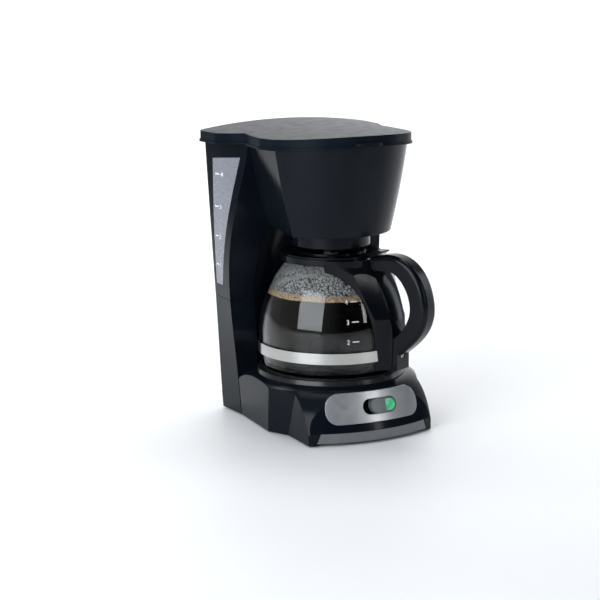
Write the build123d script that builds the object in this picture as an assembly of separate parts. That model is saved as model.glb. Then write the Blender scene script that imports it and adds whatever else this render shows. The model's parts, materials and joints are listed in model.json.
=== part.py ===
from build123d import *
import os
from math import copysign, cos, radians, sin, sqrt

# Four-cup drip coffee maker, in millimetres. +Z is up and the front faces -Y.
# The carafe axis is the design's centre line. FRAME_Y moves every sub-part so that the
# origin ends up at the middle of the whole machine's footprint, on the surface it stands on.
FRAME_Y = 1.6

# ---- heights -------------------------------------------------------------------------
FOOT_Z = 1.2                # underside of the housing, above the rubber feet
PLATE_Z = 48.9              # top of the warming plate
SEAM_Z = 102.0              # joint between the lower and the upper housing
SEAM_GAP = 0.3
RESERVOIR_FLOOR_Z = 109.0
BREW_FLOOR_Z = 165.0        # underside of the brew housing
NECK_Z = 153.5              # lower edge of the drip neck
RIM_Z = 244.0               # top of the housing walls on the centre line
LID_Z = 250.5               # top of the lid on the centre line
ARCH_R = 520.0              # the lid and the housing rim arch across the machine

# ---- walls and gaps ------------------------------------------------------------------
WALL = 2.4
LID_WALL = 2.2
LID_SKIRT = 9.0
LID_FRONT_R = 69.5
LID_FRONT_Y = 5.0
LID_CORNER_X = 64.9
BACK_Y = 80.0               # rear wall

# ---- carafe --------------------------------------------------------------------------
GLASS_R = 61.0              # widest radius of the carafe
GLASS_T = 2.2
GLASS_FOOT_Z = PLATE_Z + 0.3
BAND_Z0 = 62.6
BAND_Z1 = 71.8
BAND_T = 0.8
GLASS_RIM_Z = 145.5
NECK_R = 38.5               # outer radius of the glass neck
COLLAR_Z = 141.0            # lower edge of the collar round the neck
COLLAR_TOP_Z = 146.2
CARAFE_LID_Z = 148.6        # top of the carafe lid's raised middle
HANDLE_DIR = -63.5          # direction of the handle about the carafe axis, degrees
HANDLE_W = 18.0
SPOUT_DIR = HANDLE_DIR + 180.0

# ---- brewing parts --------------------------------------------------------------------
BASKET_Y = -4.0
BASKET_TOP_R = 35.0
BASKET_LOW_R = 28.0
BASKET_TOP_Z = 226.0
BASKET_FLOOR_Z = 170.0
VALVE_TIP_Z = 149.2
SPRING_TOP_Z = 162.9
TUBE_X = 38.0               # the heater tube's legs stand this far from the middle
TUBE_END_Y = 36.0           # where the legs turn down
HOSE_X = 42.0               # where the hoses rise in the tower
HOSE_Y = 66.0
TUBE_Z = 42.7               # height of the heater tube's centre line
TUBE_R = 4.5
HOSE_R = 6.3
GLAND_X = -30.0             # cord inlet in the rear wall
GLAND_Z = 26.0
PIN_REACH = 44.0            # carafe lid's hinge pin, out from the carafe axis
PIN_Z = 145.2
HINGE_Y = 84.5
HINGE_Z = 239.5
HINGE_R = 2.0

# ---- base ----------------------------------------------------------------------------
DECK_Z = 44.6               # flat deck inside the dome
RING_R = 62.8               # outer radius of the plate's bezel ring
RING_Z = 48.6
PLATE_R = 57.0
PLATE_T = 1.6
TRIM_Z0 = 2.8
TRIM_Z1 = 11.0
TRIM_X = 49.0               # half length of the front trim
TRIM_SLANT = 0.37
PANEL_X = 43.0              # half width of the control panel
PANEL_Z0 = 17.4
PANEL_Z1 = 41.8
PANEL_T = 1.2
SLOT_X = 4.5                # middle of the switch slot
SLOT_Z = 29.6
SLOT_L = 32.0
SLOT_H = 12.4
SLIDER_L = 24.0

# ---- tower: half widths at the rear corner and at the front crease, by height ---------
# (height, rear half width, crease half width, crease y)
TOWER = [
    (0.0, 63.3, 61.5, 48.0),
    (60.0, 67.1, 67.5, 47.0),
    (120.0, 70.8, 73.0, 46.0),
    (150.0, 72.8, 73.0, 43.5),
    (190.0, 75.4, 68.5, 38.0),
    (250.0, 79.1, 61.5, 32.5),
]
# ---- brew housing: front arc and sides, by height --------------------------------------
# (height, arc radius, arc centre y, crease half width, half width where it meets the tower)
BREW = [
    (BREW_FLOOR_Z, 54.4, 7.9, 46.5, 34.6),
    (203.0, 61.5, 6.6, 55.8, 48.6),
    (250.0, 67.5, 4.6, 63.6, 60.5),
]
BREW_BACK_Y = 50.0
# corners of the water window on the left wall, (y, z)
WINDOW = [(72.5, 222.0), (40.0, 225.0), (61.5, 113.0), (76.5, 112.5)]
# ---- base walls: front apex, foot corner, side facet and tower side, by height --------
# (height, apex y, corner (x, y), facet start (x, y), facet end (x, y), tower x)
BASE = [
    (0.0, -82.5, (58.0, -69.0), (57.0, -30.0), (66.0, -12.0), 61.2),
    (11.0, -82.3, (58.2, -68.6), (57.5, -35.0), (67.0, -14.0), 62.2),
    (50.0, -69.5, (58.5, -55.0), (58.6, -50.0), (70.5, -22.0), 66.0),
]
# profile of the base's domed top, radius and height
DOME = [(63.2, 44.6), (69.0, 42.8), (75.0, 38.4), (81.5, 30.5), (88.0, 16.5), (92.0, 0.0)]
# the curve of the recess that stands behind the carafe, radius and height
CRADLE = [(67.5, 30.0), (67.5, 105.0), (66.2, 126.0), (62.4, 144.0), (57.6, 160.0), (55.4, 166.0)]
# screws and feet, (x, y)
SEAM_POSTS = [(-62.5, 72.0), (62.5, 72.0), (-63.5, 54.0), (63.5, 54.0)]
COVER_SCREWS = [(-44.0, -52.0), (44.0, -52.0), (-56.5, 70.0), (56.5, 70.0)]
FEET = [(-48.5, -60.5), (48.5, -60.5), (-50.0, 60.0), (50.0, 60.0)]


# ---- small helpers ---------------------------------------------------------------------
def block(x0, x1, y0, y1, z0, z1):
    centre = Pos((x0 + x1) / 2, (y0 + y1) / 2, (z0 + z1) / 2)
    return centre * Box(x1 - x0, y1 - y0, z1 - z0)


def disc(radius, z0, z1, x=0.0, y=0.0):
    lift = (Align.CENTER, Align.CENTER, Align.MIN)
    return Pos(x, y, z0) * Cylinder(radius, z1 - z0, align=lift)


def ring(outer, inner, z0, z1, x=0.0, y=0.0):
    return disc(outer, z0, z1, x, y) - disc(inner, z0 - 1, z1 + 1, x, y)


def turned(points):
    """A solid of revolution about the carafe axis from (radius, height) points."""
    outline = Polyline([(r, z) for r, z in points], close=True)
    return revolve(Plane.XZ * make_face(outline), Axis.Z)


def turned_curve(curve, closing):
    """Revolve a smooth (radius, height) curve, closed by straight lines through more points."""
    smooth = Spline([(r, z) for r, z in curve])
    rest = Polyline([curve[-1]] + closing + [curve[0]])
    return revolve(Plane.XZ * make_face(smooth + rest), Axis.Z)


def slab_above(z):
    return block(-200, 200, -200, 200, z, z + 400)


def slab_below(z):
    return block(-200, 200, -200, 200, z - 400, z)


def under_arch(top_z):
    """Everything below a barrel surface that is highest on the centre line."""
    barrel = Rot(90, 0, 0) * Cylinder(ARCH_R, 400)
    return Pos(0, 0, top_z - ARCH_R) * barrel & block(-100, 100, -120, 130, -20, 300)


def rib(x, y, start, end, z0, z1):
    """A thin web that ties a post to the side wall beyond it."""
    reach = sorted((x + copysign(start, x), x + copysign(end, x)))
    return block(reach[0], reach[1], y - 0.9, y + 0.9, z0, z1)


def tube(points, radius, bend):
    """A round rod along straight runs that are joined by arcs."""
    path = FilletPolyline(*points, radius=bend)
    start = Plane(origin=path @ 0, z_dir=path % 0)
    return sweep(start * Circle(radius), path)


def hose(points, radius, bore, bend):
    path = FilletPolyline(*points, radius=bend)
    start = Plane(origin=path @ 0, z_dir=path % 0)
    return sweep(start * (Circle(radius) - Circle(bore)), path)


def screw(x, y, z, shank, length, head_r, head_h, up=True):
    """A pan head screw; its head sits at z and the shank points up (or down)."""
    step = 1 if up else -1
    ends = sorted((z, z + step * head_h))
    body = disc(head_r, ends[0], ends[1], x, y)
    ends = sorted((z + step * head_h, z + step * (head_h + length)))
    body += disc(shank, ends[0], ends[1], x, y)
    slot_z = sorted((z, z + step * head_h * 0.5))
    cross = block(x - 0.5, x + 0.5, y - head_r * 0.7, y + head_r * 0.7, slot_z[0], slot_z[1])
    cross += block(x - head_r * 0.7, x + head_r * 0.7, y - 0.5, y + 0.5, slot_z[0], slot_z[1])
    return body - cross


# ---- outer forms -----------------------------------------------------------------------
def tower_form(inset=0.0, front_inset=None):
    front = inset if front_inset is None else front_inset
    sections = []
    for z, rear, crease, y in TOWER:
        x0 = rear - inset
        x1 = crease - inset
        rim = [(-x0, BACK_Y - inset), (-x1, y + front), (x1, y + front), (x0, BACK_Y - inset)]
        sections.append(Plane.XY.offset(z) * make_face(Polyline(rim, close=True)))
    return loft(sections)


def brew_form(inset=0.0, back=BREW_BACK_Y):
    sections = []
    for z, radius, centre, crease, side in BREW:
        r = radius - inset
        x = crease - inset
        y = centre - sqrt(r * r - x * x)
        front = ThreePointArc((-x, y), (0, centre - r), (x, y))
        rest = Polyline([(x, y), (side - inset, back), (inset - side, back), (-x, y)])
        sections.append(Plane.XY.offset(z) * make_face(front + rest))
    return loft(sections)


def base_walls(grow=0.0):
    sections = []
    for z, apex, corner, start, end, tower_x in BASE:
        front = ThreePointArc(
            (-corner[0] - grow, corner[1] - grow), (0, apex - grow), (corner[0] + grow, corner[1] - grow)
        )
        half = [corner, start, end, (tower_x, 48.0)]
        right = [(half[0][0] + grow, half[0][1] - grow)] + [(x + grow, y) for x, y in half[1:]]
        right.append((tower_x + grow - 0.4, BACK_Y + grow - 0.5))
        left = [(-x, y) for x, y in reversed(right)]
        sections.append(Plane.XY.offset(z) * make_face(front + Polyline(right + left)))
    return loft(sections, ruled=True)


def dome_form(drop=0.0):
    top = DOME[0][1] - drop
    return turned_curve([(r, z - drop) for r, z in DOME], [(92.0, -60.0), (0.0, -60.0), (0.0, top)])


def cradle_form(grow=0.0):
    curve = [(r + grow, z) for r, z in CRADLE]
    return turned_curve(curve, [(0.0, CRADLE[-1][1]), (0.0, CRADLE[0][1])])


def window_prism(grow):
    """The tapering outline of the water window, driven through the left wall."""
    middle_y = sum(y for y, z in WINDOW) / 4
    middle_z = sum(z for y, z in WINDOW) / 4
    outline = []
    for y, z in WINDOW:
        outline.append((y + grow * copysign(1, y - middle_y), z + grow * copysign(1, z - middle_z)))
    return extrude(Plane.YZ.offset(-90) * make_face(Polyline(outline, close=True)), 31)


def slot_outline(length, height, x=SLOT_X, z=SLOT_Z):
    """A stadium on the front, driven through the front wall."""
    front = Plane(origin=(x, -100, z), x_dir=(1, 0, 0), z_dir=(0, 1, 0))
    return extrude(front * SlotOverall(length, height), 60)


def panel_prism(grow):
    front = Plane(origin=(0, -110, 0), x_dir=(1, 0, 0), z_dir=(0, 1, 0))
    low = -PANEL_Z1 - grow
    high = -PANEL_Z0 + grow
    side = PANEL_X + grow
    outline = make_face(Polyline([(-side, low), (side, low), (side, high), (-side, high)], close=True))
    corners = outline.vertices().sort_by(Axis.Y)
    outline = fillet(corners[:2], 13.0 + grow)
    outline = fillet(outline.vertices().sort_by(Axis.Y)[-2:], 9.0 + grow)
    return extrude(front * outline, 70)


# ---- housings --------------------------------------------------------------------------
def make_upper_housing():
    outer = tower_form() + brew_form()
    outer &= slab_above(SEAM_Z + SEAM_GAP)
    outer &= under_arch(RIM_Z)
    outer -= cradle_form() & slab_below(BREW_FLOOR_Z)
    reservoir = tower_form(WALL) & slab_above(RESERVOIR_FLOOR_Z)
    reservoir -= cradle_form(WALL) & slab_below(BREW_FLOOR_Z + WALL)
    skirt = tower_form(WALL) & slab_below(RESERVOIR_FLOOR_Z - WALL)
    skirt -= cradle_form(WALL)
    brew_space = brew_form(WALL, 60.0) - tower_form()
    brew_space &= slab_above(BREW_FLOOR_Z + WALL)
    shell = outer - reservoir - skirt - brew_space
    shell += ring(33.0, 30.6, NECK_Z, BREW_FLOOR_Z + 1)
    shell -= disc(20.0, BREW_FLOOR_Z - 2, BREW_FLOOR_Z + WALL + 2)
    # notch where the riser tube crosses from the reservoir into the brew chamber
    shell -= block(7.0, 17.0, 26.0, 50.0, 235.5, 260.0)
    # holes in the reservoir floor for the check valve and the riser tube
    shell -= disc(4.3, 100.0, 115.0, -HOSE_X, HOSE_Y)
    shell -= disc(4.6, 100.0, 115.0, HOSE_X, HOSE_Y)
    shell -= window_prism(0.0)
    for x in (-44.0, 44.0):
        ear = block(x - 3, x + 3, BACK_Y - 1, HINGE_Y, HINGE_Z - 9, HINGE_Z + 3)
        ear += Pos(x, HINGE_Y, HINGE_Z) * Rot(0, 90, 0) * Cylinder(3.0, 6.0)
        ear -= Pos(x, HINGE_Y, HINGE_Z) * Rot(0, 90, 0) * Cylinder(HINGE_R + 0.08, 20)
        shell += ear & slab_above(HINGE_Z - 9)
    for x, y in SEAM_POSTS:
        shell += ring(3.6, 1.25, SEAM_Z + SEAM_GAP, RESERVOIR_FLOOR_Z - 1, x, y)
        shell += rib(x, y, 3.0, 5.4, SEAM_Z + SEAM_GAP, RESERVOIR_FLOOR_Z - 1)
    return shell


def base_outer():
    return base_walls() & dome_form() & slab_above(FOOT_Z)


def trim_band(outer_grow, inner_grow, half, z0, z1):
    """A strip that follows the front wall between the two front feet, with slanted ends."""
    band = base_walls(outer_grow) - base_walls(inner_grow)
    front = Plane(origin=(0, -110, 0), x_dir=(1, 0, 0), z_dir=(0, 1, 0))
    low = half + TRIM_SLANT * (z1 - z0)
    ends = [(-half, -z1), (half, -z1), (low, -z0), (-low, -z0)]
    return band & extrude(front * make_face(Polyline(ends, close=True)), 70)


def make_lower_housing():
    tower = tower_form() & slab_above(FOOT_Z) & slab_below(SEAM_Z)
    outer = base_outer() + (tower - cradle_form())
    inner = base_walls(-WALL) & dome_form(WALL)
    inner += (tower_form(WALL) & slab_below(SEAM_Z + 1)) - cradle_form(WALL)
    shell = outer - inner
    shell -= disc(PLATE_R + 3.4, 30, 60)
    front_gap = trim_band(3.0, -6.0, TRIM_X, -1.0, TRIM_Z1)
    shell -= front_gap
    shell -= panel_prism(0.15) & (base_walls(3.0) - base_walls(-PANEL_T))
    shell -= slot_outline(SLOT_L + 4, SLOT_H + 4)
    shell -= Pos(GLAND_X, BACK_Y, GLAND_Z) * Rot(90, 0, 0) * Cylinder(6.0, 20)
    for x, y in SEAM_POSTS:
        shell += ring(3.6, 1.4, SEAM_Z - 14, SEAM_Z, x, y)
        shell += rib(x, y, 3.0, 5.4, SEAM_Z - 14, SEAM_Z)
    for x, y in COVER_SCREWS:
        post = disc(3.4, FOOT_Z + 3.1, 44.0, x, y) - disc(1.4, 0, FOOT_Z + 17, x, y)
        shell += post & (dome_form(0.5) if y < 0 else slab_below(FOOT_Z + 22))
        if y > 0:
            shell += rib(x, y, 3.0, 5.6, FOOT_Z + 3.1, FOOT_Z + 22)
    return shell


def make_bottom_cover():
    plate = base_walls(-WALL - 0.4) + (tower_form(WALL + 0.4) - cradle_form(WALL + 0.4))
    plate &= block(-90, 90, -90, 90, FOOT_Z + 0.6, FOOT_Z + 3.0)
    plate &= dome_form(WALL + 0.4)
    plate -= trim_band(3.0, -7.0, TRIM_X + 3, -1.0, TRIM_Z1)
    for x, y in COVER_SCREWS:
        plate -= disc(1.8, 0, 6, x, y)
        plate -= disc(3.6, 0, FOOT_Z + 1.9, x, y)
    for x, y in FEET:
        plate -= disc(2.3, 0, 6, x, y)
    for row in range(7):
        plate -= block(-18, 18, -9 + row * 8, -6.5 + row * 8, 0, 6)
    return plate


def make_rubber_feet():
    feet = []
    for x, y in FEET:
        pad = disc(6.0, 0, FOOT_Z + 0.55, x, y) + disc(2.2, FOOT_Z, FOOT_Z + 3.4, x, y)
        feet.append(pad + disc(2.9, FOOT_Z + 3.05, FOOT_Z + 4.2, x, y))
    return Part() + feet


def make_cover_screws():
    head_z = FOOT_Z + 0.1
    return Part() + [screw(x, y, head_z, 1.3, 11.0, 3.2, 1.7) for x, y in COVER_SCREWS]


def make_seam_screws():
    head_z = SEAM_Z - 15.95
    return Part() + [screw(x, y, head_z, 1.2, 17.5, 3.0, 1.9) for x, y in SEAM_POSTS]


def make_base_trim():
    return trim_band(-0.2, -2.4, TRIM_X - 0.3, TRIM_Z0, TRIM_Z1 - 0.1)


def make_control_panel():
    plate = (base_walls(0.25) - base_walls(-PANEL_T + 0.05)) & panel_prism(-0.1)
    return plate - slot_outline(SLOT_L, SLOT_H)


def make_water_window():
    pane = (tower_form(0.25) - tower_form(WALL + 0.5)) & window_prism(-0.12)
    lip = (tower_form(WALL + 0.02) - tower_form(WALL + 1.3)) & window_prism(2.5)
    return pane + lip


# ---- warming plate and heater -----------------------------------------------------------
def make_plate_ring():
    seat_z = DECK_Z + 0.02
    return turned([(PLATE_R + 0.7, 46.0), (PLATE_R + 0.7, RING_Z), (RING_R - 0.8, RING_Z),
                   (RING_R, 45.0), (RING_R, seat_z), (PLATE_R + 3.2, seat_z),
                   (PLATE_R + 3.2, 40.0), (PLATE_R + 1.6, 40.0), (PLATE_R + 1.6, 46.0)])


def make_warming_plate():
    plate = disc(PLATE_R, PLATE_Z - PLATE_T, PLATE_Z)
    plate += ring(PLATE_R, PLATE_R - 1.2, 42.5, PLATE_Z - 0.5)
    return plate + disc(2.0, 32.0, PLATE_Z - 1, 0, 6)


def make_plate_gasket():
    return ring(PLATE_R + 1.55, PLATE_R + 0.05, 43.0, 45.95)


def make_heater_tube():
    x, y, z = TUBE_X, TUBE_END_Y, TUBE_Z
    run = [(-x, y, 28.0), (-x, y, z), (-x, -x, z), (x, -x, z), (x, y, z), (x, y, 28.0)]
    body = tube(run, TUBE_R, [8.0, 36.0, 36.0, 8.0])
    web = extrude(Pos(0, 0, 46.2) * u_face(42.5, 25.0, 26.0), 1.05)
    return body + web - tube(run, 3.2, [8.0, 36.0, 36.0, 8.0])


def u_face(outer, inner, leg):
    """A flat horseshoe, open towards the back."""
    face = Circle(outer) - Circle(inner)
    face -= Pos(0, 100) * Rectangle(200, 200)
    for side in (-1, 1):
        face += Pos(side * (outer + inner) / 2, leg / 2) * Rectangle(outer - inner, leg)
    return face


def make_heater_rod():
    x, z = 29.4, 42.9
    run = [(-x, 30.0, z), (-x, -x, z), (x, -x, z), (x, 30.0, z)]
    rod = tube(run, 3.2, 28.0)
    for side in (-1, 1):
        rod += Pos(side * x, 33.0, z) * Rot(90, 0, 0) * Cylinder(1.2, 7.0)
    return rod


def make_heater_bracket():
    bar = block(-44.4, 44.4, 0, 12, 36.5, 38.15)
    for side in (-1, 1):
        bar += block(side * 43.6 - 0.8, side * 43.6 + 0.8, 0, 12, 36.5, 44.3)
    return bar - disc(2.3, 30, 42, 0, 6)


def make_bracket_nut():
    nut = extrude(Pos(0, 6, 33.3) * RegularPolygon(4.0, 6), 3.2)
    return nut - disc(2.02, 30, 40, 0, 6)


def make_thermostat():
    can = disc(8.6, 41.3, 47.25, 0, 24) + disc(6.0, 37.8, 41.3, 0, 24)
    for side in (-1, 1):
        can += block(side * 6 - 3, side * 6 + 3, 21, 27, 38.8, 39.6)
        can += block(side * 9 - 0.4, side * 9 + 0.4, 21, 27, 33.3, 39.6)
    return can


def make_thermal_fuse():
    fuse = Pos(0, -16, 44.9) * Rot(0, 90, 0) * Cylinder(2.2, 24)
    return fuse + Pos(0, -16, 44.9) * Rot(0, 90, 0) * Cylinder(0.6, 32)


# ---- water path -------------------------------------------------------------------------
def hose_route(side, top_z):
    return [(side * TUBE_X, TUBE_END_Y, 33.8), (side * TUBE_X, TUBE_END_Y, 16.0),
            (side * HOSE_X, HOSE_Y, 16.0), (side * HOSE_X, HOSE_Y, top_z)]


def make_inlet_hose():
    return hose(hose_route(-1, 93.5), HOSE_R, TUBE_R + 0.05, 11.0)


def make_outlet_hose():
    return hose(hose_route(1, 98.0), HOSE_R, TUBE_R + 0.05, 11.0)


def make_hose_clamps():
    places = [(side * TUBE_X, TUBE_END_Y, 28.6) for side in (-1, 1)]
    places += [(-HOSE_X, HOSE_Y, 86.0), (HOSE_X, HOSE_Y, 89.0)]
    clamps = []
    for x, y, z in places:
        band = ring(HOSE_R + 0.75, HOSE_R + 0.03, z, z + 3.6, x, y)
        reach = sorted((x + copysign(HOSE_R + 0.3, x), x + copysign(HOSE_R + 4.2, x)))
        ears = block(reach[0], reach[1], y - 1.4, y + 1.4, z, z + 3.6)
        clamps.append(band + ears)
    return Part() + clamps


def make_check_valve_body():
    x, y = -HOSE_X, HOSE_Y
    body = disc(TUBE_R, 84, 94, x, y) + disc(6.6, 94, 105.4, x, y) + disc(4.2, 105, 111, x, y)
    body += disc(7.6, 105.4, 106.5, x, y)
    body -= disc(3.3, 95.2, 102.3, x, y) + disc(1.8, 102, 112, x, y) + disc(2.6, 83, 94.2, x, y)
    for turn in range(3):
        angle = radians(120 * turn)
        body -= disc(0.9, 93, 96, x + 2.1 * cos(angle), y + 2.1 * sin(angle))
    return body


def make_check_valve_ball():
    return Pos(-HOSE_X, HOSE_Y, 95.2 + 2.55) * Sphere(2.5)


def make_strainer():
    x, y = -HOSE_X, HOSE_Y
    cup = disc(7.5, 109.05, 118, x, y) - disc(6.5, 108, 117, x, y)
    for turn in range(12):
        angle = 30 * turn
        slot = Pos(x, y, 113) * Rot(0, 0, angle) * Pos(7, 0, 0) * Box(4, 1.6, 5)
        cup -= slot
    return cup


def make_riser_tube():
    x, y, top = HOSE_X, HOSE_Y, 240.0
    run = [(x, y, 88), (x, y, top), (12, y, top), (12, 29, top)]
    return hose(run, 3.7, 2.6, 9.0)


def make_riser_grommet():
    collar = ring(7.2, 4.0, 109.05, 111.5, HOSE_X, HOSE_Y)
    return ring(TUBE_R, 3.75, 88, 111.5, HOSE_X, HOSE_Y) + collar


# ---- lid ----------------------------------------------------------------------------------
def lid_outline(grow=0.0):
    """Plan of the lid: a wide rear over the reservoir, a notch, and a bowed front."""
    g = grow
    front_r = LID_FRONT_R + g
    corner_x = LID_CORNER_X + g
    corner_y = LID_FRONT_Y - sqrt(front_r ** 2 - corner_x ** 2)
    front = ThreePointArc((-corner_x, corner_y), (0, LID_FRONT_Y - front_r), (corner_x, corner_y))
    right = [(corner_x, corner_y), (68.4 + g, -4.0), (67.0 + g, 18.0), (64.8 + g, 31.0 - g),
             (71.5 + g, 41.0 - g), (79.0 + g, 58.0 - g), (81.0 + g, 88.0 + g)]
    left = [(-x, y) for x, y in reversed(right)]
    outline = make_face(front + Polyline(right + left))
    sharp = outline.vertices()
    rear = sharp.sort_by(Axis.Y)[-2:]
    outline = fillet(rear, 5.0 + g)
    bends = [(58.0, 14.0), (41.0, 8.0), (31.0, 2.5), (18.0, 30.0), (-4.0, 14.0), (corner_y, 8.0)]
    for near_y, radius in bends:
        picks = [v for v in outline.vertices() if abs(v.Y - near_y) < 1.2 + abs(g)]
        if picks:
            outline = fillet(picks, radius)
    return outline


def make_lid():
    low = LID_Z - LID_SKIRT
    block_out = extrude(Plane.XY.offset(200) * lid_outline(), 70)
    bead = extrude(Plane.XY.offset(200) * lid_outline(0.9), 70)
    block_in = extrude(Plane.XY.offset(190) * lid_outline(-LID_WALL), 90)
    body = block_out & under_arch(LID_Z)
    body += bead & under_arch(low + 1.9)
    body -= under_arch(low)
    body -= block_in & under_arch(LID_Z - LID_WALL)
    tab = Pos(0, LID_FRONT_Y - LID_FRONT_R + 2.0) * Ellipse(12.5, 7.5)
    tab = extrude(Plane.XY.offset(240) * tab, 20) & (under_arch(low + 3.6) - under_arch(low + 1.0))
    body += tab - block_in
    # the rear skirt is open where the housing's hinge ears stand
    for side in (-1, 1):
        body -= block(side * 44 - 4.2, side * 44 + 4.2, BACK_Y + 0.5, 95, 220, HINGE_Z + 4.2)
    for side in (-1, 1):
        for x in (side * 38.6, side * 49.4):
            lug = Pos(x, HINGE_Y, HINGE_Z) * Rot(0, 90, 0) * Cylinder(3.0, 2.4)
            lug += block(x - 1.2, x + 1.2, HINGE_Y - 3.0, HINGE_Y + 3.0, HINGE_Z, 252)
            lug = lug & under_arch(LID_Z - 0.5)
            body += lug
    for side in (-1, 1):
        body -= Pos(side * 44, HINGE_Y, HINGE_Z) * Rot(0, 90, 0) * Cylinder(HINGE_R + 0.02, 16)
    return body


def make_hinge_pins():
    pins = []
    for side in (-1, 1):
        pin = Pos(side * 44, HINGE_Y, HINGE_Z) * Rot(0, 90, 0) * Cylinder(HINGE_R, 13.2)
        pins.append(pin)
    return Part() + pins


def make_spray_plate():
    y, z = BASKET_Y - 2.0, 230.5
    plate = disc(28.0, z, z + 1.5, 0, y) + ring(28.0, 26.6, z, z + 4.0, 0, y)
    for count, radius in ((6, 9.0), (12, 19.0)):
        for turn in range(count):
            angle = radians(360.0 * turn / count)
            plate -= disc(1.2, z - 1, z + 3, radius * cos(angle), y + radius * sin(angle))
    for turn in range(3):
        angle = radians(30 + 120 * turn)
        post = disc(2.6, z, 256, 24.5 * cos(angle), y + 24.5 * sin(angle))
        plate += post & under_arch(LID_Z - LID_WALL - 0.02)
    return plate


# ---- basket and drip stop ------------------------------------------------------------------
def make_filter_basket():
    low, top = BASKET_FLOOR_Z - 2.2, BASKET_TOP_Z
    y = BASKET_Y
    wall = 1.8
    cup = cone(BASKET_LOW_R, BASKET_TOP_R, low, top, y)
    cup -= cone(BASKET_LOW_R - wall, BASKET_TOP_R - wall, low + 2.2, top + 0.01, y)
    cup += ring(BASKET_TOP_R + 1.2, BASKET_TOP_R - wall, top - 1.6, top, 0, y) & slab_front(30.6)
    for side in (-1, 1):
        grip = block(side * 41 - 5, side * 41 + 5, y - 7, y + 7, top - 1.6, top)
        cup += grip - disc(BASKET_TOP_R - 1.5, top - 10, top + 10, 0, y)
    cup += disc(8.6, SPRING_TOP_Z, low + 0.1)
    cup -= disc(3.0, 150, 180)
    for turn in range(8):
        cup += Pos(0, y, 0) * Rot(0, 0, 45 * turn) * block(13.5, 24.0, -0.7, 0.7, low + 2.1, low + 4.2)
    return cup


def cone(low_r, top_r, z0, z1, y):
    lift = (Align.CENTER, Align.CENTER, Align.MIN)
    return Pos(0, y, z0) * Cone(low_r, top_r, z1 - z0, align=lift)


def slab_front(y):
    return block(-200, 200, -200, y, 0, 300)


def make_valve_plunger():
    tip = disc(6.0, VALVE_TIP_Z, VALVE_TIP_Z + 1.8)
    stem = disc(2.2, VALVE_TIP_Z, BASKET_FLOOR_Z + 4.0)
    head = disc(7.5, BASKET_FLOOR_Z + 1.4, BASKET_FLOOR_Z + 2.8)
    return tip + stem + head


def make_valve_seal():
    return ring(7.5, 2.22, BASKET_FLOOR_Z + 0.03, BASKET_FLOOR_Z + 1.38)


def make_valve_spring():
    low = VALVE_TIP_Z + 2.2
    height = SPRING_TOP_Z - 0.4 - low
    turns = 5
    coil = Pos(0, 0, low) * Helix(height / turns, height, 4.2)
    wire = sweep(Plane(origin=coil @ 0, z_dir=coil % 0) * Circle(0.35), coil, is_frenet=True)
    return wire


# ---- switch ------------------------------------------------------------------------------
def make_switch_body():
    x, z = SLOT_X, SLOT_Z
    case = block(x - 20, x + 20, -67.0, -54.0, z - 9.5, z + 9.0)
    case -= block(x - 18, x + 18, -68.0, -56.0, z - 7.6, z + 7.6)
    for side in (-1, 1):
        case += block(x + side * 9 - 0.4, x + side * 9 + 0.4, -54.5, -46.0, z - 3, z + 3)
    return case


def make_switch_slider():
    """The thumb piece sits at the right end of its slot and has a window for the lamp lens."""
    half = (SLOT_L - 0.8) / 2
    right = SLOT_X + half
    middle = right - SLIDER_L / 2
    knob = base_walls(0.9) - base_walls(-PANEL_T - 0.6)
    knob &= slot_outline(SLIDER_L, SLOT_H - 0.8, middle)
    stem = block(middle - 6, middle + 6, -78.0, -60.5, SLOT_Z - 3.4, SLOT_Z + 3.4)
    stem &= base_walls(-PANEL_T - 0.3)
    plate = base_walls(-WALL - 0.5) - base_walls(-WALL - 1.7)
    plate &= slot_outline(SLIDER_L + 1.0, SLOT_H + 2.0, middle)
    body = knob + stem + plate
    return body - lens_prism(0.08)


def lens_prism(grow):
    half = (SLOT_L - 0.8) / 2
    right = SLOT_X + half
    z = SLOT_Z
    shape = slot_outline(14.0 + 2 * grow, SLOT_H - 3.4 + 2 * grow, right - 1.6 - 7.0, z)
    return shape & block(right - 10.4 - grow, right, -100, -60.2, z - 10, z + 10)


def make_switch_lens():
    return lens_prism(0.0) & (base_walls(0.8) - base_walls(-WALL - 1.7))


# ---- carafe ------------------------------------------------------------------------------
# outer profile of the glass, radius and height
GLASS = [(53.5, GLASS_FOOT_Z), (58.4, 51.6), (59.9, 58.0), (60.6, 70.0), (61.0, 81.0), (59.6, 96.0),
         (55.8, 111.0), (50.2, 124.0), (43.6, 134.0), (NECK_R, 140.2), (NECK_R, GLASS_RIM_Z)]


def glass_form(grow=0.0, foot=0.0, rim=0.0):
    curve = [(r + grow, z) for r, z in GLASS[:-1]]
    curve[0] = (curve[0][0], curve[0][1] + foot)
    curve[1] = (curve[1][0], curve[1][1] + foot * 0.7)
    top = GLASS_RIM_Z + rim
    return turned_curve(curve, [(NECK_R + grow, top), (0, top), (0, curve[0][1])])


def spout_form(grow=0.0):
    lip = Rot(0, 0, SPOUT_DIR) * Pos(NECK_R - 3.0, 0, GLASS_RIM_Z - 1.0) * Sphere(9.0 + grow)
    return lip & slab_above(GLASS_RIM_Z - 8.0) & slab_below(GLASS_RIM_Z)


def make_carafe_glass():
    outer = glass_form() + spout_form()
    inner = glass_form(-GLASS_T, GLASS_T + 0.4, 5.0)
    lip = Rot(0, 0, SPOUT_DIR) * Pos(NECK_R - 3.0, 0, GLASS_RIM_Z - 1.0) * Sphere(9.0 - 1.8)
    return outer - inner - (lip & slab_above(GLASS_RIM_Z - 6.4))


def at_handle(shape):
    return Rot(0, 0, HANDLE_DIR) * shape


def make_carafe_band():
    band = ring(GLASS_R + BAND_T + 0.15, GLASS_R + 0.1, BAND_Z0, BAND_Z1)
    return band - at_handle(block(50, 70, -3, 3, 50, 90))


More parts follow.
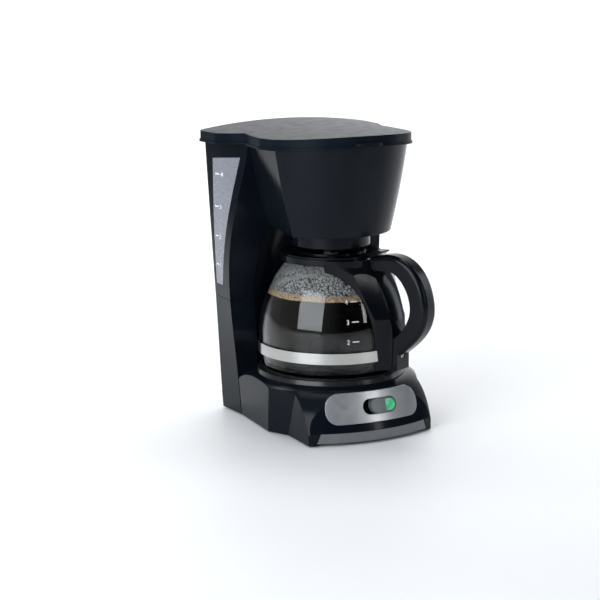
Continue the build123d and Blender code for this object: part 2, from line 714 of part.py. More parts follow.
# (height, half width on the glass, half width outside, glass radius)
STRAP = [(52.0, 17.5, 10.0, 58.0), (98.0, 21.8, 10.5, 59.0), (136.0, 29.6, 12.0, 42.0),
         (147.0, 33.0, 13.0, 38.0)]


def strap_wedge():
    """Plan of the strap that lies on the glass: wide on the glass, narrower outside."""
    sections = []
    for z, inner_w, outer_w, glass_r in STRAP:
        outline = [(20, inner_w + 8), (glass_r, inner_w), (glass_r + 9, outer_w), (90, outer_w * 0.9)]
        outline += [(x, -y) for x, y in reversed(outline)]
        sections.append(Plane.XY.offset(z) * make_face(Polyline(outline, close=True)))
    return loft(sections, ruled=True)


def loop_face():
    """Side view of the handle, radius against height, in the plane of the handle."""
    outer = Spline([(40.0, 145.6), (50.0, 148.4), (61.0, 150.4), (72.0, 149.4), (82.0, 144.6),
                    (92.0, 133.5), (98.5, 117.0), (99.5, 102.0), (94.0, 87.0), (84.0, 75.5),
                    (73.0, 66.5)])
    rest = Polyline([(73.0, 66.5), (73.0, 54.5), (60.0, 54.5), (40.0, 140.0), (40.0, 145.6)])
    whole = make_face(outer + rest)
    hole = Spline([(58.0, 136.5), (66.5, 136.5), (76.0, 129.5), (83.0, 117.0), (84.5, 105.0),
                   (80.0, 93.0), (73.0, 84.5), (67.0, 80.0)])
    back = Polyline([(67.0, 80.0), (55.0, 80.0), (45.0, 136.5), (58.0, 136.5)])
    return whole, make_face(hole + back)


def make_carafe_handle():
    whole, hole = loop_face()
    half = HANDLE_W / 2
    side = Plane.XZ.offset(-half)
    loop = extrude(side * whole, HANDLE_W)
    long_edges = [e for e in loop.edges() if e.length > 100]
    loop = fillet(long_edges, 4.5)
    loop -= extrude(side * hole, HANDLE_W)
    strap = (glass_form(8.6) - glass_form(0.35)) & strap_wedge()
    strap &= slab_above(54.5) & slab_below(COLLAR_TOP_Z)
    collar = ring(NECK_R + 4.6, NECK_R + 0.35, COLLAR_Z, COLLAR_TOP_Z)
    body = (at_handle(loop) - glass_form(0.36, 0.0, 3.0)) + at_handle(strap) + collar
    body -= ring(GLASS_R + BAND_T + 0.3, GLASS_R - 1.0, BAND_Z0 - 0.3, BAND_Z1 + 0.3)
    body -= spout_form(0.6)
    body -= at_handle(block(PIN_REACH - 3.0, PIN_REACH + 3.0, -6.0, 6.0, PIN_Z - 2.8, 160))
    body -= at_handle(Pos(PIN_REACH, 0, PIN_Z) * Rot(90, 0, 0) * Cylinder(1.15, 30))
    body -= at_handle(Pos(73.0, 0, 67.0) * Rot(0, 90, 0) * Cylinder(3.2, 6.0))
    body -= at_handle(Pos(70.0, 0, 67.0) * Rot(0, 90, 0) * Cylinder(1.5, 18.0))
    return body


def make_band_screw():
    head = Pos(71.3, 0, 67.0) * Rot(0, 90, 0) * Cylinder(2.9, 2.0)
    shank = Pos(66.3, 0, 67.0) * Rot(0, 90, 0) * Cylinder(1.4, 8.2)
    slot = Pos(72.2, 0, 67.0) * Box(1.2, 0.8, 4.6)
    return at_handle(head + shank - slot)


def make_carafe_lid():
    top = CARAFE_LID_Z
    lid = disc(NECK_R + 3.4, COLLAR_TOP_Z + 0.15, COLLAR_TOP_Z + 1.4)
    lid += disc(29.4, COLLAR_TOP_Z + 0.15, top)
    lid -= disc(26.5, top - 0.8, top + 1)
    lid += disc(9.0, top - 1.6, top)
    lid += ring(NECK_R - GLASS_T - 0.4, NECK_R - GLASS_T - 2.0, COLLAR_TOP_Z - 4.5, COLLAR_TOP_Z + 0.5)
    for turn in range(8):
        angle = radians(45 * turn + 22.5)
        lid -= disc(1.8, 140, 155, 15.0 * cos(angle), 15.0 * sin(angle))
    side = Plane.XZ.offset(-5.5)
    tab = [(36.0, 146.6), (42.0, 150.2), (48.0, 152.6), (55.0, 152.6), (55.0, 151.2), (49.0, 149.9),
           (45.0, 148.0), (PIN_REACH + 1.5, PIN_Z), (PIN_REACH - 1.5, PIN_Z), (PIN_REACH - 1.8, 147.0)]
    lid += at_handle(extrude(side * make_face(Polyline(tab, close=True)), 11.0))
    knuckle = Pos(PIN_REACH, 0, PIN_Z) * Rot(90, 0, 0) * (Cylinder(2.0, 11.0))
    lid += at_handle(knuckle)
    return lid - at_handle(Pos(PIN_REACH, 0, PIN_Z) * Rot(90, 0, 0) * Cylinder(1.15, 30))


def make_carafe_lid_pin():
    return at_handle(Pos(PIN_REACH, 0, PIN_Z) * Rot(90, 0, 0) * Cylinder(1.1, 17.6))


# ---- electrical parts -----------------------------------------------------------------------
def make_indicator_lamp():
    return Pos(15.5, -58.1, SLOT_Z) * Rot(90, 0, 0) * Cylinder(2.2, 3.8)


def make_cord_gland():
    at_hole = Pos(GLAND_X, 0, GLAND_Z) * Rot(90, 0, 0)
    gland = Pos(0, BACK_Y - 1.0, 0) * at_hole * Cylinder(5.9, 6.0)
    gland += Pos(0, BACK_Y + 1.0, 0) * at_hole * Cylinder(8.5, 1.96)
    gland += Pos(0, BACK_Y - WALL - 1.0, 0) * at_hole * Cylinder(7.6, 1.96)
    return gland - Pos(0, BACK_Y, 0) * at_hole * Cylinder(3.2, 20)


def make_lead_wires():
    """Three insulated leads: switch to heater, switch to the cord inlet, heater to thermostat."""
    rod_x = 29.4
    heater_lead = [(-4.5, -45.9, 29.6), (-4.5, -38.0, 29.6), (-8.0, -26.0, 16.0), (-22.0, -8.0, 12.0),
                   (-rod_x, 16.0, 12.0), (-rod_x, 35.0, 20.0), (-rod_x, 35.0, 41.5)]
    inlet_lead = [(13.5, -45.9, 29.6), (13.5, -38.0, 29.6), (13.0, -22.0, 14.0), (10.0, 12.0, 11.0),
                  (-4.0, 40.0, 11.0), (-16.0, 60.0, 16.0), (-24.0, 70.0, 22.0),
                  (GLAND_X + 1.5, 76.0, GLAND_Z)]
    thermostat_lead = [(9.0, 24.0, 33.2), (9.0, 24.0, 24.0), (20.0, 30.0, 18.0), (rod_x, 35.0, 24.0),
                       (rod_x, 35.0, 41.5)]
    return Part() + [tube(run, 1.1, 3.0) for run in (heater_lead, inlet_lead, thermostat_lead)]


parts = {}
parts["upper_housing"] = make_upper_housing()
parts["lower_housing"] = make_lower_housing()
parts["bottom_cover"] = make_bottom_cover()
parts["rubber_feet"] = make_rubber_feet()
parts["bottom_cover_screws"] = make_cover_screws()
parts["housing_screws"] = make_seam_screws()
parts["base_trim"] = make_base_trim()
parts["control_panel"] = make_control_panel()
parts["water_window"] = make_water_window()
parts["plate_bezel_ring"] = make_plate_ring()
parts["warming_plate"] = make_warming_plate()
parts["plate_gasket"] = make_plate_gasket()
parts["heater_water_tube"] = make_heater_tube()
parts["heater_rod"] = make_heater_rod()
parts["heater_bracket"] = make_heater_bracket()
parts["bracket_nut"] = make_bracket_nut()
parts["thermostat"] = make_thermostat()
parts["thermal_fuse"] = make_thermal_fuse()
parts["inlet_hose"] = make_inlet_hose()
parts["outlet_hose"] = make_outlet_hose()
parts["hose_clamps"] = make_hose_clamps()
parts["check_valve_body"] = make_check_valve_body()
parts["check_valve_ball"] = make_check_valve_ball()
parts["reservoir_strainer"] = make_strainer()
parts["riser_tube"] = make_riser_tube()
parts["riser_grommet"] = make_riser_grommet()
parts["lid"] = make_lid()
parts["lid_hinge_pins"] = make_hinge_pins()
parts["spray_plate"] = make_spray_plate()
parts["filter_basket"] = make_filter_basket()
parts["valve_plunger"] = make_valve_plunger()
parts["valve_seal"] = make_valve_seal()
parts["valve_spring"] = make_valve_spring()
parts["switch_body"] = make_switch_body()
parts["switch_slider"] = make_switch_slider()
parts["switch_lens"] = make_switch_lens()
parts["carafe_glass"] = make_carafe_glass()
parts["carafe_band"] = make_carafe_band()
parts["carafe_handle"] = make_carafe_handle()
parts["band_screw"] = make_band_screw()
parts["carafe_lid"] = make_carafe_lid()
parts["carafe_lid_pin"] = make_carafe_lid_pin()
parts["indicator_lamp"] = make_indicator_lamp()
parts["cord_gland"] = make_cord_gland()
parts["lead_wires"] = make_lead_wires()

os.makedirs("parts", exist_ok=True)
for name, shape in parts.items():
    export_step(Pos(0, FRAME_Y, 0) * shape, f"parts/{name}.step")
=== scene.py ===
import json
import math
import random

import bpy
from mathutils import Matrix, Vector


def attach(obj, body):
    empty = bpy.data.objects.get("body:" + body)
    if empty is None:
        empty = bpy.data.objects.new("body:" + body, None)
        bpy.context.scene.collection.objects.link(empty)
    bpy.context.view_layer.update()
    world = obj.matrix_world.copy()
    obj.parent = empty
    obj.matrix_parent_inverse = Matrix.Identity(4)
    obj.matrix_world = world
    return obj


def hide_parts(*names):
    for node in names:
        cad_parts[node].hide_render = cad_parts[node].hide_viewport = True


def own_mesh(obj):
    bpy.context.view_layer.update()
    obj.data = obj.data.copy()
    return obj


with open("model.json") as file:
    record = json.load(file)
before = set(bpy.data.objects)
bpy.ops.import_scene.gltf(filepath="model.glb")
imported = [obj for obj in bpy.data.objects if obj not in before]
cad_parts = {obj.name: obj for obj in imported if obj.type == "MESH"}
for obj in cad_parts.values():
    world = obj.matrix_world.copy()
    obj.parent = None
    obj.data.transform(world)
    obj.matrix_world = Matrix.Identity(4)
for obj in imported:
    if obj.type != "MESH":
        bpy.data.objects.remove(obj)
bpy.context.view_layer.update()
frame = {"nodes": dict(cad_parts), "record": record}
NODES = frame["nodes"]
RNG = random.Random(7)
MM = 0.001                  # a millimetre in metres
FRAME_Y = 1.6               # the carafe axis stands this far behind the origin, mm


# ---- materials -------------------------------------------------------------------------
class Mat:
    """A small wrapper that builds one node material."""

    def __init__(self, name):
        self.material = bpy.data.materials.new(name)
        self.material.use_nodes = True
        self.tree = self.material.node_tree
        self.tree.nodes.clear()
        self.out = self.node("ShaderNodeOutputMaterial")
        self.coords = self.node("ShaderNodeTexCoord")

    def node(self, kind, **settings):
        made = self.tree.nodes.new(kind)
        for key, value in settings.items():
            setattr(made, key, value)
        return made

    def link(self, a, b):
        self.tree.links.new(a, b)

    def noise(self, scale, detail=4.0, stretch=(1, 1, 1)):
        mapping = self.node("ShaderNodeMapping")
        mapping.inputs["Scale"].default_value = stretch
        self.link(self.coords.outputs["Object"], mapping.inputs["Vector"])
        noise = self.node("ShaderNodeTexNoise")
        noise.inputs["Scale"].default_value = scale
        noise.inputs["Detail"].default_value = detail
        self.link(mapping.outputs["Vector"], noise.inputs["Vector"])
        return noise.outputs["Fac"]

    def spread(self, source, low, high, low_at=0.3, high_at=0.7):
        change = self.node("ShaderNodeMapRange")
        change.inputs["From Min"].default_value = low_at
        change.inputs["From Max"].default_value = high_at
        change.inputs["To Min"].default_value = low
        change.inputs["To Max"].default_value = high
        self.link(source, change.inputs["Value"])
        return change.outputs["Result"]

    def ramp(self, source, stops):
        ramp = self.node("ShaderNodeValToRGB")
        elements = ramp.color_ramp.elements
        elements[0].position, elements[0].color = stops[0][0], (*stops[0][1], 1)
        elements[1].position, elements[1].color = stops[-1][0], (*stops[-1][1], 1)
        for place, colour in stops[1:-1]:
            extra = elements.new(place)
            extra.color = (*colour, 1)
        self.link(source, ramp.inputs["Fac"])
        return ramp.outputs["Color"]

    def bump(self, source, strength, distance, normal=None):
        bump = self.node("ShaderNodeBump")
        bump.inputs["Strength"].default_value = strength
        bump.inputs["Distance"].default_value = distance
        self.link(source, bump.inputs["Height"])
        if normal is not None:
            self.link(normal, bump.inputs["Normal"])
        return bump.outputs["Normal"]

    def rounded(self, radius):
        edge = self.node("ShaderNodeBevel", samples=4)
        edge.inputs["Radius"].default_value = radius
        return edge.outputs["Normal"]

    def shader(self, **values):
        bsdf = self.node("ShaderNodeBsdfPrincipled")
        for key, value in values.items():
            bsdf.inputs[key.replace("_", " ")].default_value = value
        self.link(bsdf.outputs["BSDF"], self.out.inputs["Surface"])
        return bsdf


def surface(name, colour, rough, metallic=0.0, vary=0.25, rough_vary=0.05, scale=60.0, grain=0.1,
            grain_scale=900.0, depth=0.00005, edge=0.0006, coat=0.0, stretch=(1, 1, 1), shine=0.5):
    """Plastic, rubber or metal with faint mottling, uneven gloss and a fine grain."""
    m = Mat(name)
    dark = tuple(c * (1 - vary) for c in colour)
    light = tuple(min(1.0, c * (1 + vary)) for c in colour)
    bsdf = m.shader(Metallic=metallic, Coat_Weight=coat, Coat_Roughness=0.04, Specular_IOR_Level=shine)
    patches = m.noise(scale, 5.0, stretch)
    m.link(m.ramp(patches, [(0.3, dark), (0.7, light)]), bsdf.inputs["Base Color"])
    gloss = m.noise(scale * 3.1, 6.0, stretch)
    m.link(m.spread(gloss, max(0.02, rough - rough_vary), rough + rough_vary), bsdf.inputs["Roughness"])
    start = m.rounded(edge) if edge else None
    fine = m.noise(grain_scale, 2.0, stretch)
    m.link(m.bump(fine, grain, depth, start), bsdf.inputs["Normal"])
    return m.material


def glass(name, tint, rough):
    m = Mat(name)
    bsdf = m.shader(Transmission_Weight=1.0, IOR=1.30, Specular_IOR_Level=0.4)
    cloud = m.noise(25.0, 4.0)
    m.link(m.ramp(cloud, [(0.3, tuple(c * 0.97 for c in tint)), (0.7, tint)]), bsdf.inputs["Base Color"])
    m.link(m.spread(m.noise(70.0, 6.0), 0.0, rough), bsdf.inputs["Roughness"])
    m.link(m.bump(m.noise(35.0, 2.0), 0.12, 0.0002), bsdf.inputs["Normal"])
    return m.material


def window_material():
    m = Mat("clear_window")
    bsdf = m.shader(Transmission_Weight=0.25, IOR=1.49)
    m.link(m.ramp(m.noise(18.0, 3.0), [(0.3, (0.27, 0.28, 0.32)), (0.7, (0.33, 0.34, 0.38))]),
           bsdf.inputs["Base Color"])
    m.link(m.spread(m.noise(140.0, 5.0), 0.22, 0.32), bsdf.inputs["Roughness"])
    m.link(m.bump(m.noise(700.0, 3.0), 0.15, 0.00006, m.rounded(0.0005)), bsdf.inputs["Normal"])
    return m.material


def lens_material():
    m = Mat("lens_plastic")
    bsdf = m.shader(Transmission_Weight=0.3, Roughness=0.2, Emission_Strength=0.22)
    colour = m.ramp(m.noise(160.0, 3.0), [(0.35, (0.05, 0.42, 0.20)), (0.65, (0.16, 0.66, 0.38))])
    m.link(colour, bsdf.inputs["Base Color"])
    m.link(colour, bsdf.inputs["Emission Color"])
    m.link(m.bump(m.noise(1200.0, 1.0), 0.3, 0.0001), bsdf.inputs["Normal"])
    return m.material


MATERIALS = {
    "black_plastic": surface("black_plastic", (0.0036, 0.0056, 0.0090), 0.18, vary=0.2, rough_vary=0.03,
                             scale=35.0, grain=0.06, shine=0.12),
    "carafe_plastic": surface("carafe_plastic", (0.0024, 0.0033, 0.0055), 0.16, vary=0.2, rough_vary=0.03,
                              scale=50.0, grain=0.05, shine=0.16),
    "black_rubber": surface("black_rubber", (0.02, 0.02, 0.021), 0.65, grain=0.35, grain_scale=1400.0),
    "zinc_steel": surface("zinc_steel", (0.55, 0.56, 0.58), 0.32, 1.0, rough_vary=0.1, edge=0.0003),
    "polished_steel": surface("polished_steel", (0.50, 0.50, 0.48), 0.20, 1.0, vary=0.06, rough_vary=0.05,
                              stretch=(1, 1, 18), grain=0.12, edge=0.0003),
    "satin_trim": surface("satin_trim", (0.50, 0.51, 0.53), 0.34, 0.75, vary=0.07, rough_vary=0.05,
                          grain=0.2, grain_scale=2600.0, edge=0.0004),
    "clear_window": window_material(),
    "ring_plastic": surface("ring_plastic", (0.012, 0.013, 0.014), 0.24, vary=0.2, shine=0.35),
    "plate_coating": surface("plate_coating", (0.03, 0.03, 0.032), 0.38, 0.3, grain=0.3, scale=90.0),
    "silicone": surface("silicone", (0.62, 0.61, 0.58), 0.55, vary=0.1, grain=0.2),
    "cast_aluminium": surface("cast_aluminium", (0.62, 0.62, 0.63), 0.4, 1.0, rough_vary=0.1, grain=0.4),
    "steel_sheath": surface("steel_sheath", (0.45, 0.45, 0.46), 0.35, 1.0, rough_vary=0.1),
    "white_plastic": surface("white_plastic", (0.72, 0.71, 0.68), 0.4, vary=0.05, grain=0.15),
    "slider_plastic": surface("slider_plastic", (0.11, 0.125, 0.125), 0.36, vary=0.12, grain=0.25,
                              grain_scale=2200.0),
    "lens_plastic": lens_material(),
    "clear_glass": glass("clear_glass", (0.97, 0.985, 0.985), 0.02),
    "wire_insulation": surface("wire_insulation", (0.60, 0.55, 0.42), 0.5, vary=0.12, grain=0.2),
}


def wear(obj, material):
    obj.data.materials.clear()
    obj.data.materials.append(material)


SLOTS = {entry["node"]: entry["material_slot"] for entry in frame["record"]["subparts"]}
for node_name, node_object in NODES.items():
    wear(node_object, MATERIALS[SLOTS[node_name]])
wear(NODES["base_trim"], surface("trim_paint", (0.16, 0.165, 0.175), 0.36, 0.4, vary=0.08, rough_vary=0.05,
                                 grain=0.2, grain_scale=2600.0, edge=0.0004))
wear(NODES["lid"], surface("lid_plastic", (0.0050, 0.0080, 0.0130), 0.32, vary=0.2, rough_vary=0.04,
                           scale=35.0, grain=0.10, shine=0.05))


# ---- mesh helpers ------------------------------------------------------------------------
def piece(name, verts, faces, material, body, smooth=True):
    mesh = bpy.data.meshes.new(name)
    mesh.from_pydata([tuple(v) for v in verts], [], faces)
    mesh.update()
    for polygon in mesh.polygons:
        polygon.use_smooth = smooth
    obj = bpy.data.objects.new(name, mesh)
    bpy.context.scene.collection.objects.link(obj)
    wear(obj, material)
    if body:
        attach(obj, body)
    return obj


GLASS_PROFILE = [(53.5, 49.2), (58.4, 51.6), (59.9, 58.0), (60.6, 70.0), (61.0, 81.0), (59.6, 96.0),
                 (55.8, 111.0), (50.2, 124.0), (43.6, 134.0), (38.5, 140.2), (38.5, 145.5)]
GLASS_WALL = 2.2


def glass_radius(z):
    """Outer radius of the carafe at a height, in millimetres, by cubic interpolation."""
    p = GLASS_PROFILE
    i = max(k for k in range(len(p) - 1) if p[k][1] <= z or k == 0)
    before = p[max(i - 1, 0)]
    after = p[min(i + 2, len(p) - 1)]
    a, b = p[i], p[i + 1]
    span = b[1] - a[1]
    t = (z - a[1]) / span
    slope_a = (b[0] - before[0]) / max(b[1] - before[1], 0.1) * span
    slope_b = (after[0] - a[0]) / max(after[1] - a[1], 0.1) * span
    h = (2 * t ** 3 - 3 * t ** 2 + 1, t ** 3 - 2 * t ** 2 + t, 3 * t ** 2 - 2 * t ** 3, t ** 3 - t ** 2)
    return h[0] * a[0] + h[1] * slope_a + h[2] * b[0] + h[3] * slope_b


def revolved(name, profile, material, body, wobble=0.0, turns=128):
    """A surface of revolution from (radius, height) points in millimetres."""
    verts = []
    for i in range(turns):
        angle = 2 * math.pi * i / turns
        for r, z in profile:
            lift = wobble * math.sin(7 * angle + r) * math.sin(3 * angle)
            verts.append((r * math.cos(angle) * MM, (r * math.sin(angle) + FRAME_Y) * MM, (z + lift) * MM))
    n = len(profile)
    faces = []
    for i in range(turns):
        j = (i + 1) % turns
        for k in range(n - 1):
            faces.append((i * n + k, j * n + k, j * n + k + 1, i * n + k + 1))
    return piece(name, verts, faces, material, body)


# ---- the drip stop's spring, drawn at one fixed length; the real one shortens as the plunger lifts ---
def valve_spring():
    """A five-turn coil between the plunger's foot and the filter basket, in millimetres."""
    low, high, radius, wire = 151.4, 162.5, 4.2, 0.35
    steps, around, turns = 160, 8, 5
    verts, faces = [], []
    for i in range(steps + 1):
        angle = 2 * math.pi * turns * i / steps
        out = Vector((math.cos(angle), math.sin(angle), 0))
        centre = out * radius + Vector((0, FRAME_Y, low + (high - low) * i / steps))
        for k in range(around):
            turn = 2 * math.pi * k / around
            verts.append((centre + (out * math.cos(turn) + Vector((0, 0, math.sin(turn)))) * wire) * MM)
    for i in range(steps):
        for k in range(around):
            a, b = i * around + k, i * around + (k + 1) % around
            faces.append((a, b, b + around, a + around))
    faces.append(tuple(range(around - 1, -1, -1)))
    faces.append(tuple(range(steps * around, steps * around + around)))
    coil = piece("valve_spring_coil", verts, faces, MATERIALS["zinc_steel"], "base")
    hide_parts("valve_spring")
    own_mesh(coil)


valve_spring()


# ---- coffee, foam and droplets -------------------------------------------------------------
def coffee_material():
    m = Mat("coffee")
    bsdf = m.shader(Roughness=0.06, IOR=1.33, Specular_IOR_Level=0.2)
    m.link(m.ramp(m.noise(14.0, 4.0), [(0.3, (0.003, 0.002, 0.0015)), (0.7, (0.009, 0.005, 0.003))]),
           bsdf.inputs["Base Color"])
    m.link(m.bump(m.noise(40.0, 2.0), 0.1, 0.0002), bsdf.inputs["Normal"])
    return m.material


def foam_material():
    m = Mat("foam")
    bsdf = m.shader(Roughness=0.45)
    cells = m.node("ShaderNodeTexVoronoi")
    cells.inputs["Scale"].default_value = 600.0
    m.link(m.coords.outputs["Object"], cells.inputs["Vector"])
    m.link(m.ramp(cells.outputs["Distance"], [(0.1, (0.62, 0.47, 0.29)), (0.6, (0.26, 0.16, 0.08))]),
           bsdf.inputs["Base Color"])
    m.link(m.bump(cells.outputs["Distance"], 0.6, 0.0004), bsdf.inputs["Normal"])
    return m.material


def water_material():
    m = Mat("water_drops")
    bsdf = m.shader(IOR=1.33, Transmission_Weight=0.65)
    m.link(m.ramp(m.noise(300.0, 2.0), [(0.3, (0.74, 0.76, 0.78)), (0.7, (0.93, 0.94, 0.95))]),
           bsdf.inputs["Base Color"])
    m.link(m.spread(m.noise(500.0, 2.0), 0.02, 0.12), bsdf.inputs["Roughness"])
    return m.material


COFFEE_TOP = 116.0
FLOOR_OF_GLASS = 52.0


def inner(z):
    return glass_radius(z) - GLASS_WALL - 0.35


coffee_line = [(0.0, FLOOR_OF_GLASS + 0.3), (44.0, FLOOR_OF_GLASS + 0.3), (51.0, FLOOR_OF_GLASS + 0.9)]
coffee_line += [(inner(z) - 0.3, z) for z in (56.0, 60.0)]
coffee_line += [(inner(z), z) for z in [64.0 + 3.0 * k for k in range(18)]]
coffee_line += [(inner(COFFEE_TOP) - 0.1, COFFEE_TOP), (inner(COFFEE_TOP) - 2.0, COFFEE_TOP - 0.5)]
coffee_line += [(20.0, COFFEE_TOP - 0.6), (0.0, COFFEE_TOP - 0.6)]
revolved("coffee", coffee_line, coffee_material(), "carafe")

foam_edge = inner(COFFEE_TOP + 1.0)
foam_line = [(inner(COFFEE_TOP - 3.2) + 0.12, COFFEE_TOP - 3.2),
             (inner(COFFEE_TOP - 1.5) + 0.14, COFFEE_TOP - 1.5), (foam_edge + 0.1, COFFEE_TOP + 0.7),
             (foam_edge - 1.0, COFFEE_TOP + 1.1), (foam_edge - 2.6, COFFEE_TOP + 0.6),
             (foam_edge - 4.2, COFFEE_TOP - 0.2), (foam_edge - 5.0, COFFEE_TOP - 0.5)]
revolved("foam", foam_line, foam_material(), "carafe", wobble=0.25)


def droplets():
    """Flattened beads of water on the inner wall above the coffee."""
    verts, faces = [], []
    rings, around = 3, 8
    for _ in range(700):
        z = RNG.uniform(COFFEE_TOP + 4.0, 138.5)
        angle = RNG.uniform(0, 2 * math.pi)
        size = RNG.choice((0.28, 0.35, 0.45, 0.6, 0.9)) * RNG.uniform(0.8, 1.3)
        slope = (glass_radius(z + 0.5) - glass_radius(z - 0.5))
        wall = glass_radius(z) - GLASS_WALL * math.sqrt(1 + slope * slope) - 0.02
        out = Vector((math.cos(angle), math.sin(angle), 0))
        side = Vector((-math.sin(angle), math.cos(angle), 0))
        up = (Vector((0, 0, 1)) + out * slope).normalized()
        inward = side.cross(up).normalized()
        if inward.dot(out) > 0:
            inward = -inward
        base = out * wall + Vector((0, FRAME_Y, z))
        first = len(verts)
        tip = base + inward * size * 0.55
        verts.append(tip * MM)
        for ring_no in range(1, rings + 1):
            tilt = math.pi / 2 * ring_no / rings
            for k in range(around):
                turn = 2 * math.pi * k / around
                spread = side * math.cos(turn) + up * math.sin(turn) * 1.15
                point = base + spread * size * math.sin(tilt) + inward * size * 0.55 * math.cos(tilt)
                verts.append(point * MM)
        for k in range(around):
            n = (k + 1) % around
            faces.append((first, first + 1 + k, first + 1 + n))
            for ring_no in range(rings - 1):
                a = first + 1 + ring_no * around
                faces.append((a + k, a + around + k, a + around + n, a + n))
    return piece("droplets", verts, faces, water_material(), "carafe")


droplets()


def film_material():
    """Condensation: pale cells with clear lines between them."""
    m = Mat("condensation")
    cells = m.node("ShaderNodeTexVoronoi", feature="DISTANCE_TO_EDGE")
    cells.inputs["Scale"].default_value = 430.0
    m.link(m.coords.outputs["Object"], cells.inputs["Vector"])
    cover = m.spread(cells.outputs["Distance"], 0.06, 0.62, 0.02, 0.16)
    pale = m.node("ShaderNodeBsdfPrincipled")
    pale.inputs["Roughness"].default_value = 0.25
    m.link(m.ramp(m.noise(420.0, 2.0), [(0.3, (0.36, 0.36, 0.36)), (0.7, (0.62, 0.62, 0.61))]),
           pale.inputs["Base Color"])
    m.link(m.bump(cells.outputs["Distance"], 0.7, 0.0006), pale.inputs["Normal"])
    clear = m.node("ShaderNodeBsdfTransparent")
    blend = m.node("ShaderNodeMixShader")
    m.link(cover, blend.inputs[0])
    m.link(clear.outputs["BSDF"], blend.inputs[1])
    m.link(pale.outputs["BSDF"], blend.inputs[2])
    m.link(blend.outputs["Shader"], m.out.inputs["Surface"])
    return m.material


film_line = [(inner(COFFEE_TOP + 0.8 + 1.6 * k) + 0.2, COFFEE_TOP + 0.8 + 1.6 * k) for k in range(15)]
revolved("condensation", film_line, film_material(), "carafe")


# ---- printed marks ---------------------------------------------------------------------------
def ink_material(name, colour):
    return surface(name, colour, 0.5, vary=0.12, scale=260.0, grain=0.2, edge=0.0)


def digit_mesh(text, height):
    """Flat outlines of a scale number as vertices and faces in its own plane, x right and y up."""
    curve = bpy.data.curves.new("number", "FONT")
    curve.body = text
    curve.size = height
    curve.resolution_u = 3
    holder = bpy.data.objects.new("number", curve)
    bpy.context.scene.collection.objects.link(holder)
    bpy.context.view_layer.update()
    mesh = bpy.data.meshes.new_from_object(holder)
    verts = [tuple(v.co)[:2] for v in mesh.vertices]
    faces = [tuple(p.vertices) for p in mesh.polygons]
    bpy.data.objects.remove(holder)
    bpy.data.meshes.remove(mesh)
    bpy.data.curves.remove(curve)
    return verts, faces


def bar_mesh(x0, x1, y0, y1, steps=8):
    verts, faces = [], []
    for k in range(steps + 1):
        x = x0 + (x1 - x0) * k / steps
        verts += [(x, y0), (x, y1)]
    for k in range(steps):
        faces.append((2 * k, 2 * k + 2, 2 * k + 3, 2 * k + 1))
    return verts, faces


def printed(name, shapes, place, material, body):
    """Lays flat (x, y) shapes on a curved surface through place(x, y)."""
    verts, faces = [], []
    for shape_verts, shape_faces in shapes:
        first = len(verts)
        verts += [place(x, y) * MM for x, y in shape_verts]
        faces += [tuple(first + i for i in face) for face in shape_faces]
    return piece(name, verts, faces, material, body, smooth=False)


def shifted(shape, dx, dy):
    verts, faces = shape
    return [(x + dx, y + dy) for x, y in verts], faces


def on_glass(direction):
    """x runs to the viewer's right round the glass, y is the height."""
    def place(x, y):
        radius = glass_radius(y) + 0.08
        angle = math.radians(direction) + x / radius
        return Vector((radius * math.cos(angle), radius * math.sin(angle) + FRAME_Y, y))
    return place


def on_window(x, y):
    """x runs towards the front of the machine, seen from the left, y is the height."""
    window = NODES["water_window"]
    start = Vector((-0.12, (x + FRAME_Y) * MM, y * MM))
    hit, point, normal, index = window.ray_cast(start, Vector((1, 0, 0)))
    return (point / MM if hit else Vector((-70.0, x + FRAME_Y, y))) + Vector((-0.06, 0, 0))


WINDOW_MARKS = [("4", 208.7), ("3", 180.8), ("2", 155.2), ("1", 130.3)]


def window_marks():
    shapes = []
    for text, z in WINDOW_MARKS:
        rear = 72.5 + 4.0 * (222.0 - z) / 109.5
        verts, faces = digit_mesh(text, 5.2)
        flipped = [(rear - 9.6 - x * 1.5, y + z - 1.9) for x, y in verts]
        shapes.append((flipped, [tuple(reversed(f)) for f in faces]))
        shapes.append(bar_mesh(rear - 3.2, rear - 8.4, z - 0.5, z + 0.5))
    return shapes


printed("window_scale", window_marks(), on_window, ink_material("window_ink", (0.95, 0.95, 0.96)), "base")


def carafe_marks():
    """A tick and a number at each cup level."""
    shapes = []
    for text, z in CUP_LEVELS:
        shapes.append(shifted(digit_mesh(text, 5.4), -5.4, z - 1.9))
        shapes.append(bar_mesh(-0.6, 5.4, z - 0.35, z + 0.35))
    return shapes


CUP_LEVELS = [("4", 113.6), ("3", 97.6), ("2", 81.2)]
printed("cup_scale", carafe_marks(), on_glass(-101.2), ink_material("cup_ink", (0.80, 0.80, 0.80)), "carafe")


# ---- floor, light and camera --------------------------------------------------------------------
def floor_material():
    m = Mat("studio_floor")
    bsdf = m.shader(Roughness=0.5)
    m.link(m.ramp(m.noise(3.0, 4.0), [(0.3, (0.84, 0.845, 0.85)), (0.7, (0.88, 0.885, 0.89))]),
           bsdf.inputs["Base Color"])
    return m.material


def backdrop():
    """A floor that turns up into a wall behind the machine."""
    back = Vector((0.475, 0.880, 0)).normalized()
    side = Vector((back.y, -back.x, 0))
    profile = [(-3.0, 0.0), (1.6, 0.0)]
    for k in range(1, 13):
        turn = math.pi / 2 * k / 12
        profile.append((1.6 + 0.9 * math.sin(turn), 0.9 - 0.9 * math.cos(turn)))
    profile.append((2.5, 3.2))
    verts = []
    for along in (-4.0, 4.0):
        verts += [back * d + side * along + Vector((0, 0, h)) for d, h in profile]
    n = len(profile)
    faces = [(k, k + 1, n + k + 1, n + k) for k in range(n - 1)]
    floor = piece("studio_floor", verts, faces, floor_material(), None)


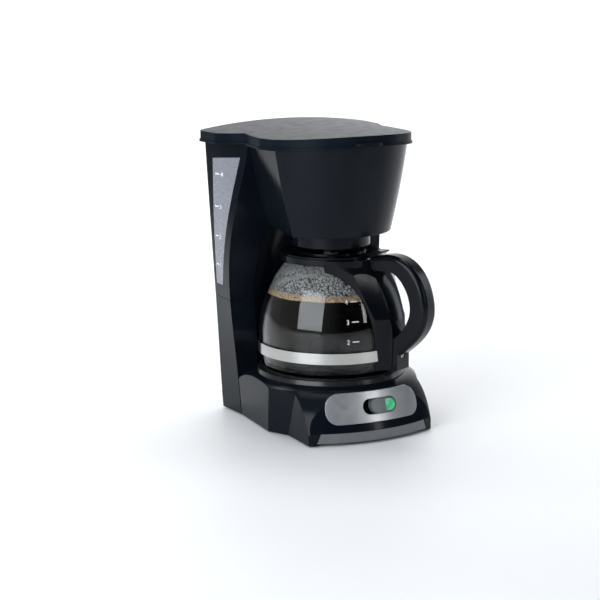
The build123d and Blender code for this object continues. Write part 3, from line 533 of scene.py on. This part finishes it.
def light(name, place, target, size, power, colour, size_y):
    data = bpy.data.lights.new(name, "AREA")
    data.shape = "RECTANGLE"
    data.size = size
    data.size_y = size_y
    data.energy = power
    data.color = colour
    obj = bpy.data.objects.new(name, data)
    obj.location = place
    obj.rotation_euler = (Vector(target) - Vector(place)).to_track_quat("-Z", "Y").to_euler()
    bpy.context.scene.collection.objects.link(obj)


# name, place, target, width, power, colour, height
LIGHTS = [
    ("key_left", (-1.35, -0.70, 0.62), (0, 0, 0.13), 1.2, 24.0, (0.92, 0.96, 1.0), 1.1),
    ("front_strip", (0.62, -1.15, 0.50), (0, 0, 0.11), 0.12, 1.6, (1, 1, 1), 0.6),
    ("top_soft", (0.10, 0.10, 1.60), (0, 0, 0.1), 1.2, 7.0, (1, 1, 1), 1.2),
    ("right_strip", (1.25, -0.10, 0.55), (0, 0, 0.13), 0.25, 2.5, (0.85, 0.92, 1.0), 1.1),
    ("wall_wash", (0.3, 1.2, 2.2), (1.2, 2.4, 0.6), 2.0, 60.0, (1, 1, 1), 2.0),
]


def studio():
    for row in LIGHTS:
        light(*row)
    world = bpy.data.worlds.new("studio")
    bpy.context.scene.world = world
    world.use_nodes = True
    tree = world.node_tree
    tree.nodes.clear()
    out = tree.nodes.new("ShaderNodeOutputWorld")
    ground = tree.nodes.new("ShaderNodeBackground")
    ground.inputs["Strength"].default_value = 0.3
    coords = tree.nodes.new("ShaderNodeTexCoord")
    facing = tree.nodes.new("ShaderNodeVectorMath")
    facing.operation = "DOT_PRODUCT"
    facing.inputs[1].default_value = Vector((0.60, -0.80, -0.05)).normalized()
    tree.links.new(coords.outputs["Generated"], facing.inputs[0])
    ramp = tree.nodes.new("ShaderNodeValToRGB")
    ramp.color_ramp.elements[0].position = 0.10
    ramp.color_ramp.elements[0].color = (0.82, 0.88, 0.95, 1)
    ramp.color_ramp.elements[1].position = 0.62
    ramp.color_ramp.elements[1].color = (0.03, 0.04, 0.055, 1)
    tree.links.new(facing.outputs["Value"], ramp.inputs["Fac"])
    tree.links.new(ramp.outputs["Color"], ground.inputs["Color"])
    tree.links.new(ground.outputs["Background"], out.inputs["Surface"])


CAMERA_PITCH = 11.17        # looking down, degrees
CAMERA_TURN = -28.40        # round to the machine's left, degrees
CAMERA_PLACE = (-0.7568, -1.3752, 0.4298)
CAMERA_LENS = 113.64


def camera():
    pitch = math.radians(CAMERA_PITCH)
    turn = math.radians(CAMERA_TURN)
    back = Vector((math.sin(turn) * math.cos(pitch), -math.cos(turn) * math.cos(pitch), math.sin(pitch)))
    right = Vector((math.cos(turn), math.sin(turn), 0))
    up = back.cross(right)
    data = bpy.data.cameras.new("camera")
    data.lens = CAMERA_LENS
    data.sensor_width = 36.0
    data.clip_end = 20.0
    data.shift_x = -0.0283
    data.shift_y = -0.030
    obj = bpy.data.objects.new("camera", data)
    place = Vector(CAMERA_PLACE) + Vector((0, FRAME_Y * MM, 0))
    rotation = Matrix((right, up, back)).transposed().to_4x4()
    obj.matrix_world = Matrix.Translation(place) @ rotation
    bpy.context.scene.collection.objects.link(obj)
    bpy.context.scene.camera = obj


backdrop()
studio()
camera()
bpy.context.scene.view_settings.view_transform = "Standard"
